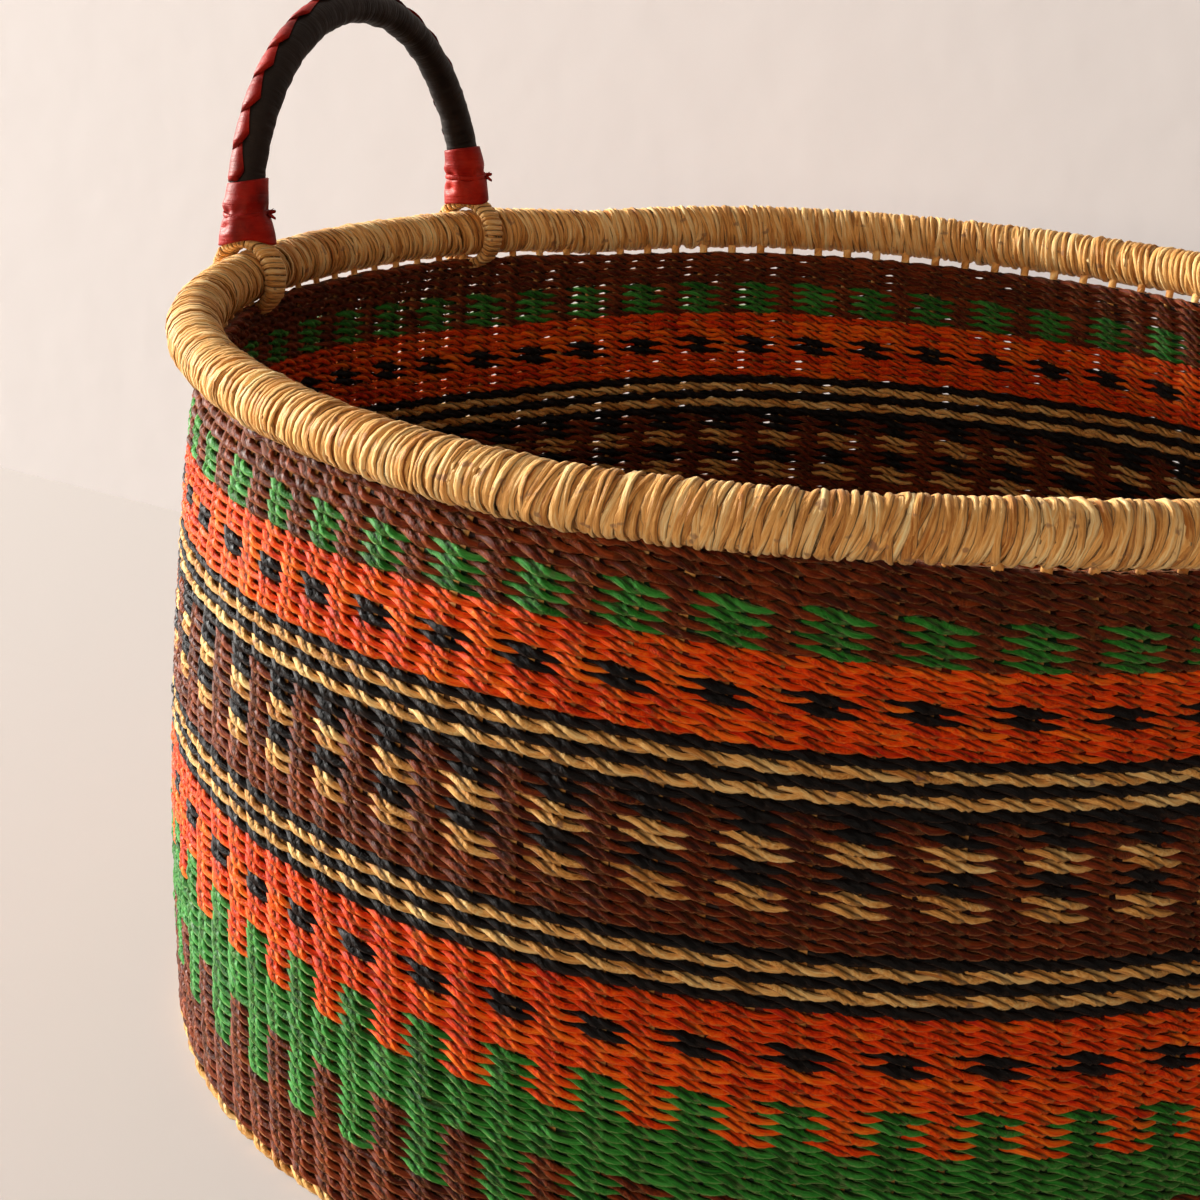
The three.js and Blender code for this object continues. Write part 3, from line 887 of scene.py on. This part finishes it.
class Arch:
    """The middle line of a handle from one height on its first leg to the same on its last."""

    def __init__(self, start_height):
        first = math.asin((start_height - ARCH_SPRING) / ARCH_RISE)
        self.turns = np.linspace(first, math.pi - first, ARCH_POINTS)
        y, z = self.path(self.turns)
        steps = np.hypot(np.diff(y), np.diff(z))
        self.run = np.concatenate([[0], np.cumsum(steps)])
        self.length = self.run[-1]

    def path(self, turn):
        return -HALF_SPAN * np.cos(turn), ARCH_SPRING + ARCH_RISE * np.sin(turn)

    def surface(self, run, around, radius):
        """A point beside the middle line: around is measured from the arch's outer side outward."""
        turn = np.interp(run, self.run, self.turns)
        y, z = self.path(turn)
        slope_y = HALF_SPAN * np.sin(turn)
        slope_z = ARCH_RISE * np.cos(turn)
        size = np.hypot(slope_y, slope_z)
        up_y = -slope_z / size
        up_z = slope_y / size
        out = radius * np.cos(around)
        x = radius * np.sin(around) + 0 * run
        return np.stack([x, y + up_y * out, z + up_z * out], -1)


COVER_START = 19.8
COVER_STEPS = 340
COVER_SIDES = 32
COVER_LUMPS = 60
COVER_CREASES = 150
LUMP_HEIGHT = 0.14
CREASE_HEIGHT = 0.1
FAN_HEIGHT = 0.08
FAN_PITCH = 9.3
SWELL_HEIGHT = 0.12
SWELL_RUN = 31.0


def add_cover(side, name):
    """The leather tube, a little lumpy, with creases that fan out from its inner side."""
    arch = Arch(COVER_START)
    run = by_step(np.linspace(0, arch.length, COVER_STEPS))
    around = by_side(circle(COVER_SIDES))

    def uneven(count):
        return np.interp(run, np.linspace(0, arch.length, count), rng.normal(0, 1, count))

    lumps = uneven(COVER_LUMPS)
    creases = uneven(COVER_CREASES)
    inner = 0.5 - 0.5 * np.cos(around + 0.6)
    fan = np.sin(FULL_TURN * run / FAN_PITCH + 2.5 * np.cos(around) + 1.5 * lumps)
    radius = COVER_RADIUS + inner * (LUMP_HEIGHT * lumps + CREASE_HEIGHT * creases)
    radius = radius + FAN_HEIGHT * fan + SWELL_HEIGHT * np.sin(run / SWELL_RUN + 1.7)
    points = to_basket(arch.surface(run, around, radius), side)
    grain = grain_of(run, around / FULL_TURN, 0.5, points.shape[:3])
    nodes = [f"{name}_cover", f"{name}_core"]
    new_piece(
        f"{name}_leather", points, grain, LEATHER_BLACK, name, nodes, looped=False
    )


# The lacing: where its straps lie round the arch, their size and how they lap
LACING_ANGLE = math.radians(52)
LACING_SPAN = math.radians(128)
STITCH_PITCH = 12.8
LACING_STEPS = 16
STRAP_HALF = 9.0
STRAP_TUCK = 1.0
STRAP_SWELL = 0.35
STRAP_LIFT = 0.3
STRAP_LAP = 0.4
STRAP_SLANT = 0.25
STRAP_WIDTH_STRAY = 0.05
STRAP_TURN_STRAY = 0.03


def add_lacing(side, name):
    """One leaf-shaped strap for each whip stitch, laid across the seam over the one before."""
    arch = Arch(CUFF_TOP - STRAP_TUCK)
    count = round(arch.length / STITCH_PITCH)
    pitch = arch.length / count
    share = by_step(np.linspace(0, 1, LACING_STEPS))
    first = by_tube(np.arange(count) * pitch)
    swell = np.sin(math.pi * np.clip(0.22 + 0.78 * share, 0, 0.975)) ** 0.8
    half = STRAP_HALF * swell * (1 + rng.normal(0, STRAP_WIDTH_STRAY, (count, 1, 1)))
    thick = (0.2 + STRAP_SWELL * swell) * np.minimum(8 * share + 0.1, 1)
    middle_run = first + pitch * (0.5 + 0.5 * (share - 0.5))
    middle_around = LACING_ANGLE + LACING_SPAN * (share - 0.5)
    middle_around = middle_around + rng.normal(0, STRAP_TURN_STRAY, (count, 1, 1))
    across = half * LENS_ACROSS
    run = np.clip(middle_run + across, 0, arch.length)
    around = middle_around - STRAP_SLANT * across / COVER_RADIUS
    lap = STRAP_LAP * swell * LENS_ACROSS
    radius = COVER_RADIUS + STRAP_LIFT + STRAP_SWELL * swell + lap + thick * LENS_OUT
    points = to_basket(arch.surface(run, around, radius), side)
    grain = grain_of(run, LENS_AROUND, 0.5, points.shape[:3])
    red_piece(f"{name}_stitches", points, grain, name, f"{name}_lacing", looped=False)


def leg_middle(height):
    """How far from the hinge's middle a leg stands at a height."""
    return HALF_SPAN * np.cos(np.arcsin(np.clip((height - ARCH_SPRING) / ARCH_RISE, -1, 1)))


# The cuffs. Heights on a cuff are shares of it from the hem up. Its looseness is its skirt's at
# the hem, and shrinks on the way to the top.
CUFF_STEPS = 30
CUFF_SIDES = 56
CUFF_SKIRTS = {"front": 3.6, "back": 2.4}
LOOSE_RISES = (0, 0.15, 0.5, 1.0)
LOOSE_LOW_SHARE = 0.88
LOOSE_WAIST = 1.2
LOOSE_TOP = 0.1
HEM_EDGE_RISE = -0.012
HEM_TURNED_IN = 0.6
TOP_EDGE_RISE = 1.01
TOP_EDGE_LOOSE = -0.4
CUFF_WALL = 1.1
CUFF_OFF = 1.2
HEM_WAVE = 1.1
TOP_SLANT = 0.9
SKIRT_SHARE = 0.4
SKIRT_OUT = 0.06
SKIRT_IN = 0.16

# The hem is cut away a little on this side, where it meets the wall when a handle lies inward
CLEAR_TURN = math.radians(137)
CLEAR_WIDTH = 0.9
CLEAR_RAISED = 2.6
CLEAR_DRAWN_IN = 1.3

# The thong draws the cuff in at this height, in small folds
TIE_SHARE = 0.5
TIE_SPREAD = 0.1
WAIST_DEPTH = 0.75
FOLD_DEPTH = 0.22
SLUMP_DEPTH = 0.3

# The cuff's dents and bulges: turn round the cuff, height and depth
CUFF_DENTS = ((1.18, 0.52, -1.2), (1.18, 0.29, -1.6), (0.85, 0.66, 0.7), (2.3, 0.4, -0.6))
DENT_WIDTH = 0.3
DENT_HEIGHT = 0.085


def turn_from(turns, middle):
    """The turns measured from a middle one, the short way round."""
    return np.angle(np.exp(1j * (turns - middle)))


def add_cuff(side, end, name, end_name):
    """A leather sleeve, drawn in a little by its thong, with a loose skirt that sits on the rim."""
    sides = by_side(circle(CUFF_SIDES))
    rise = np.linspace(0, 1, CUFF_STEPS)
    skirt_loose = CUFF_SKIRTS[end_name]
    looseness = (skirt_loose, LOOSE_LOW_SHARE * skirt_loose, LOOSE_WAIST, LOOSE_TOP)
    loose = np.interp(rise, LOOSE_RISES, looseness)
    outer_rise = np.concatenate([[HEM_EDGE_RISE], rise, [TOP_EDGE_RISE]])
    outer_loose = np.concatenate([[skirt_loose - HEM_TURNED_IN], loose, [TOP_EDGE_LOOSE]])
    rise = by_step(np.concatenate([outer_rise, rise[::-1]]))
    ease = by_step(np.concatenate([outer_loose, loose[::-1] - CUFF_WALL]))
    corner = np.exp(-((turn_from(sides, end * CLEAR_TURN) / CLEAR_WIDTH) ** 2))
    low = CUFF_BOTTOMS[end_name] + HEM_WAVE * np.sin(sides) ** 2 + CLEAR_RAISED * corner
    height = low + (CUFF_TOP - TOP_SLANT * np.cos(sides) - low) * rise
    tied = np.exp(-(((rise - TIE_SHARE) / TIE_SPREAD) ** 2))
    waist = -WAIST_DEPTH * tied * (1 + 0.35 * np.sin(7 * sides + 2 * end))
    folds = FOLD_DEPTH * np.sin(8 * sides + 4 * rise + end + side) * tied
    slump = SLUMP_DEPTH * np.sin(3 * sides + 5 * rise + 2 * end) * (1 - rise)
    dents = 0
    for turn, level, depth in CUFF_DENTS:
        off = turn_from(sides, turn)
        near = np.exp(-((off / DENT_WIDTH) ** 2) - ((rise - level) / DENT_HEIGHT) ** 2)
        dents = dents + depth * near
    radius = COVER_RADIUS + CUFF_OFF + ease + waist + folds + slump + dents
    skirt = np.clip(1 - rise / SKIRT_SHARE, 0, 1)
    radius = radius - CLEAR_DRAWN_IN * corner * skirt
    x = radius * np.cos(sides) * (1 + SKIRT_OUT * skirt)
    y = end * leg_middle(height) + radius * np.sin(sides) * (1 - SKIRT_IN * skirt)
    points = to_basket(np.stack([x, y, height], -1), side)
    grain = grain_of(height, sides / FULL_TURN, 0.5, points.shape[:3])
    red_piece(f"{name}_sleeve_{end_name}", points, grain, name, f"{name}_cuff_{end_name}")


# The thong: how far its band, knot and ends stand off the leg, and their half sizes
TIE_STEPS = 48
BAND_OFF = 2.0
BAND_THICK = 0.35
BAND_WIDE = 1.0
KNOT_TURN = math.radians(211)
KNOT_OFF = 2.9
KNOT_THICK = 0.6
TAIL_OFF = 2.2
TAIL_LENGTH = 2.2


def add_tie(side, end, name, end_name):
    """The thong round the cuff's waist: a flat band, a knot and two short ends."""
    level = CUFF_TOP - (1 - TIE_SHARE) * (CUFF_TOP - CUFF_BOTTOMS[end_name])
    turn = by_step(circle(TIE_STEPS))
    middle = end * leg_middle(level)
    radius = COVER_RADIUS + BAND_OFF + BAND_THICK * LENS_OUT + 0 * turn
    height = level + 0.4 * np.sin(2 * turn + end) + BAND_WIDE * LENS_ACROSS
    band = np.stack([radius * np.cos(turn), middle + radius * np.sin(turn), height], -1)

    def at_knot(out, along, up):
        """A place beside the knot, which sits a little off the straight way inward."""
        x = out * math.cos(KNOT_TURN) - along * math.sin(KNOT_TURN)
        y = out * math.sin(KNOT_TURN) + along * math.cos(KNOT_TURN)
        return np.stack([x, middle + y, level + up], -1)

    out = COVER_RADIUS + KNOT_OFF + 0.6 * np.cos(2 * turn) + KNOT_THICK * LENS_OUT * np.cos(turn)
    along = 1.4 * np.sin(turn) + 0.8 * LENS_ACROSS
    curl = at_knot(out, along, 1.2 * np.cos(turn) + KNOT_THICK * LENS_OUT)
    tubes = to_basket(np.concatenate([band, curl]), side)
    grain = grain_of(turn * radius, LENS_AROUND, 0.5, tubes.shape[:3])
    label = f"{name}_thong_{end_name}"
    node = f"{name}_tie_{end_name}"
    red_piece(label, tubes, grain, name, node)
    share = by_step(np.linspace(0, 1, TIE_STEPS))
    tails = []
    for up in (1.0, -1.0):
        out = COVER_RADIUS + TAIL_OFF + TAIL_LENGTH * share + 0.2 * LENS_OUT
        along = up * 0.5 * share + 0.5 * LENS_OUT
        rise = up * (0.3 + 0.9 * share) - 0.6 * share + (1 - 0.45 * share) * LENS_ACROSS
        tails.append(at_knot(out, along, rise))
    ends = to_basket(np.concatenate(tails), side)
    grain = grain_of(share * 4, LENS_AROUND, 0.5, ends.shape[:3])
    red_piece(f"{label}_ends", ends, grain, name, node, looped=False)


# The loops: rings of straw, a little boxy in section
LOOP_TURNS = 40
LOOP_STEPS = 22
LOOP_MIDDLE = 12.5
LOOP_HALF_THICK = 1.65
LOOP_HALF_WIDE = LOOP_WIDTH / 2 - 0.4
LOOP_STRAW_THICK = 0.55
LOOP_STRAW_WIDTHS = (0.85, 1.15)
LOOP_STRAY = 0.1
LOOP_TONE_STRAY = 0.22
LOOP_CORE_STEPS = 40
LOOP_CORE_SIDES = 8


def add_loop(side, end, name, end_name):
    """The ring round the rim: a bundle bound across with narrow straw."""
    one_each = (LOOP_TURNS, 1, 1)
    middle_y = end * HALF_SPAN

    def wound(radius, turn, sideways):
        """Points at a distance from the hinge and an angle round it."""
        points = np.stack([radius * np.sin(turn), middle_y + sideways, radius * np.cos(turn)], -1)
        return to_basket(points, side)

    ring = by_step(circle(LOOP_STEPS))
    start = by_tube(np.arange(LOOP_TURNS)) + rng.normal(0, LOOP_STRAY, one_each)
    start = start / LOOP_TURNS
    boxy = (np.abs(np.cos(ring)) ** 4 + np.abs(np.sin(ring)) ** 4) ** -0.25
    out = LENS_OUT * LOOP_STRAW_THICK
    across = LENS_ACROSS * rng.uniform(*LOOP_STRAW_WIDTHS, one_each)
    rise = (LOOP_HALF_THICK + out) * boxy * np.sin(ring) + rng.normal(0, LOOP_STRAY, one_each)
    sideways = (LOOP_HALF_WIDE + out) * boxy * np.cos(ring) + 0 * start
    turn = FULL_TURN * start + (0.05 * np.cos(ring) + across / LOOP_MIDDLE)
    points = wound(LOOP_MIDDLE + rise, turn, sideways)
    tone = np.clip(rng.normal(0.5, LOOP_TONE_STRAY, one_each), 0, 1)
    grain = grain_of(ring * 5 + 40 * start, LENS_AROUND, tone, points.shape[:3])
    label = f"{name}_ring_{end_name}"
    node = f"{name}_loop_{end_name}"
    straw_piece(label, points, grain, name, node)
    section = by_side(circle(LOOP_CORE_SIDES))
    sweep = by_step(circle(LOOP_CORE_STEPS))
    radius = LOOP_MIDDLE + (LOOP_HALF_THICK - 0.2) * np.cos(section)
    core = wound(radius, sweep, (LOOP_HALF_WIDE - 0.3) * np.sin(section) + 0 * sweep)
    # Round the core the places run past the grooves' values on more than half of it, which the
    # straw material paints in shade
    grain = grain_of(sweep * LOOP_MIDDLE, section / FULL_TURN, 0.3, core.shape[:3])
    straw_piece(f"{label}_core", core, grain, name, node)


def add_handle(side, name):
    add_cover(side, name)
    add_lacing(side, name)
    front = -side
    for end, end_name in ((front, "front"), (-front, "back")):
        add_cuff(side, end, name, end_name)
        add_tie(side, end, name, end_name)
        add_loop(side, end, name, end_name)


# Floor, wall and light. Lengths are in metres from here on.

BACK_WALL_POINT = (0.012, 0.312)
BACK_WALL_TURN = math.radians(1.21)
STAGE_DROP = 0.0005
STAGE_HALF_WIDTH = 6
STAGE_HEIGHT = 5
STAGE_NEAR = 8
STAGE_FAR = 6
WALL_PAINT = (0.67, 0.645, 0.632)
FLOOR_PAINT = (0.645, 0.616, 0.595)
BACKDROP_LIFT = 0.70
ROOM_LIGHT = (1.0, 0.80, 0.64, 1.0)
ROOM_SEEN = (0.76, 0.71, 0.66, 1.0)
ROOM_STRENGTH = 0.10

# Each lamp's name, place, target, size, power and colour
LAMPS = [
    ("window", (-5.1, -0.85, 1.3), (0, 0, 0.15), (1.8, 1.6), 900, (1.0, 0.985, 0.95)),
    ("front", (0.6, -3.0, 0.9), (0, 0, 0.1), (1.6, 1.2), 33, (1.0, 0.80, 0.62)),
]


def stage_plane(name, corners, material):
    mesh = bpy.data.meshes.new(name)
    mesh.from_pydata(corners, [], [(0, 1, 2, 3)])
    mesh.materials.append(material)
    plane = bpy.data.objects.new(name, mesh)
    bpy.context.scene.collection.objects.link(plane)


def seen_directly(tree):
    """1 for what the camera sees, straight or in a mirror or glass, and 0 for the light's ways."""
    path = add_node(tree, "ShaderNodeLightPath").outputs
    mirrored = math_of(tree, "MAXIMUM", path["Is Glossy Ray"], path["Is Transmission Ray"])
    return math_of(tree, "MAXIMUM", path["Is Camera Ray"], mirrored)


def pale_material(name, paint, bump_scale, bump_distance):
    """Matt paint, seen a little brighter than the light on it makes it, and clear from behind."""
    material, tree, shader = new_shader(name, Roughness=0.85, Specular_IOR_Level=0.2)
    shader.inputs["Base Color"].default_value = linear(paint)
    place = add_node(tree, "ShaderNodeTexCoord").outputs["Object"]
    set_bump(tree, shader, noise_of(tree, place, bump_scale, 3.0), bump_distance, 0.5)
    lift = math_of(tree, "MULTIPLY", seen_directly(tree), BACKDROP_LIFT)
    shader.inputs["Emission Color"].default_value = linear(paint)
    tree.links.new(lift, shader.inputs["Emission Strength"])
    clear = add_node(tree, "ShaderNodeBsdfTransparent").outputs[0]
    behind = add_node(tree, "ShaderNodeNewGeometry").outputs["Backfacing"]
    values = [(0, behind), (1, shader.outputs[0]), (2, clear)]
    mixed = add_node(tree, "ShaderNodeMixShader", values).outputs[0]
    tree.links.new(mixed, tree.nodes["Material Output"].inputs["Surface"])
    return material


def add_stage():
    along = Vector((math.cos(BACK_WALL_TURN), math.sin(BACK_WALL_TURN), 0))
    foot = Vector((*BACK_WALL_POINT, -STAGE_DROP))
    left = foot - along * STAGE_HALF_WIDTH
    right = foot + along * STAGE_HALF_WIDTH
    up = Vector((0, 0, STAGE_HEIGHT))
    near = Vector((0, -STAGE_NEAR, 0))
    far = Vector((0, STAGE_FAR, 0))
    plaster = pale_material("plaster", WALL_PAINT, 30.0, 0.001)
    stage_plane("back_wall", [left, right, right + up, left + up], plaster)
    floor_paint = pale_material("floor_paint", FLOOR_PAINT, 9.0, 0.0004)
    stage_plane("floor", [left + near, right + near, right + far, left + far], floor_paint)


def add_area(name, place, target, size, power, color):
    data = bpy.data.lights.new(name, "AREA")
    data.shape = "RECTANGLE"
    data.size, data.size_y = size
    data.energy = power
    data.color = color
    lamp = bpy.data.objects.new(name, data)
    lamp.location = place
    lamp.rotation_euler = (Vector(target) - Vector(place)).to_track_quat("-Z", "Y").to_euler()
    bpy.context.scene.collection.objects.link(lamp)


def add_light():
    world = bpy.data.worlds.new("room")
    world.use_nodes = True
    tree = world.node_tree
    background = tree.nodes["Background"]
    seen = seen_directly(tree)
    tree.links.new(mix_of(tree, seen, ROOM_LIGHT, ROOM_SEEN), background.inputs["Color"])
    strength = range_of(tree, seen, 0.0, 1.0, ROOM_STRENGTH, 1.0)
    tree.links.new(strength, background.inputs["Strength"])
    bpy.context.scene.world = world
    for lamp in LAMPS:
        add_area(*lamp)


add_camera()
add_wall()
add_stakes()
add_base()
add_rim()
for handle_side, handle_name in ((-1, "handle_left"), (1, "handle_right")):
    add_handle(handle_side, handle_name)
add_stage()
add_light()
bpy.context.scene.view_settings.view_transform = "Standard"
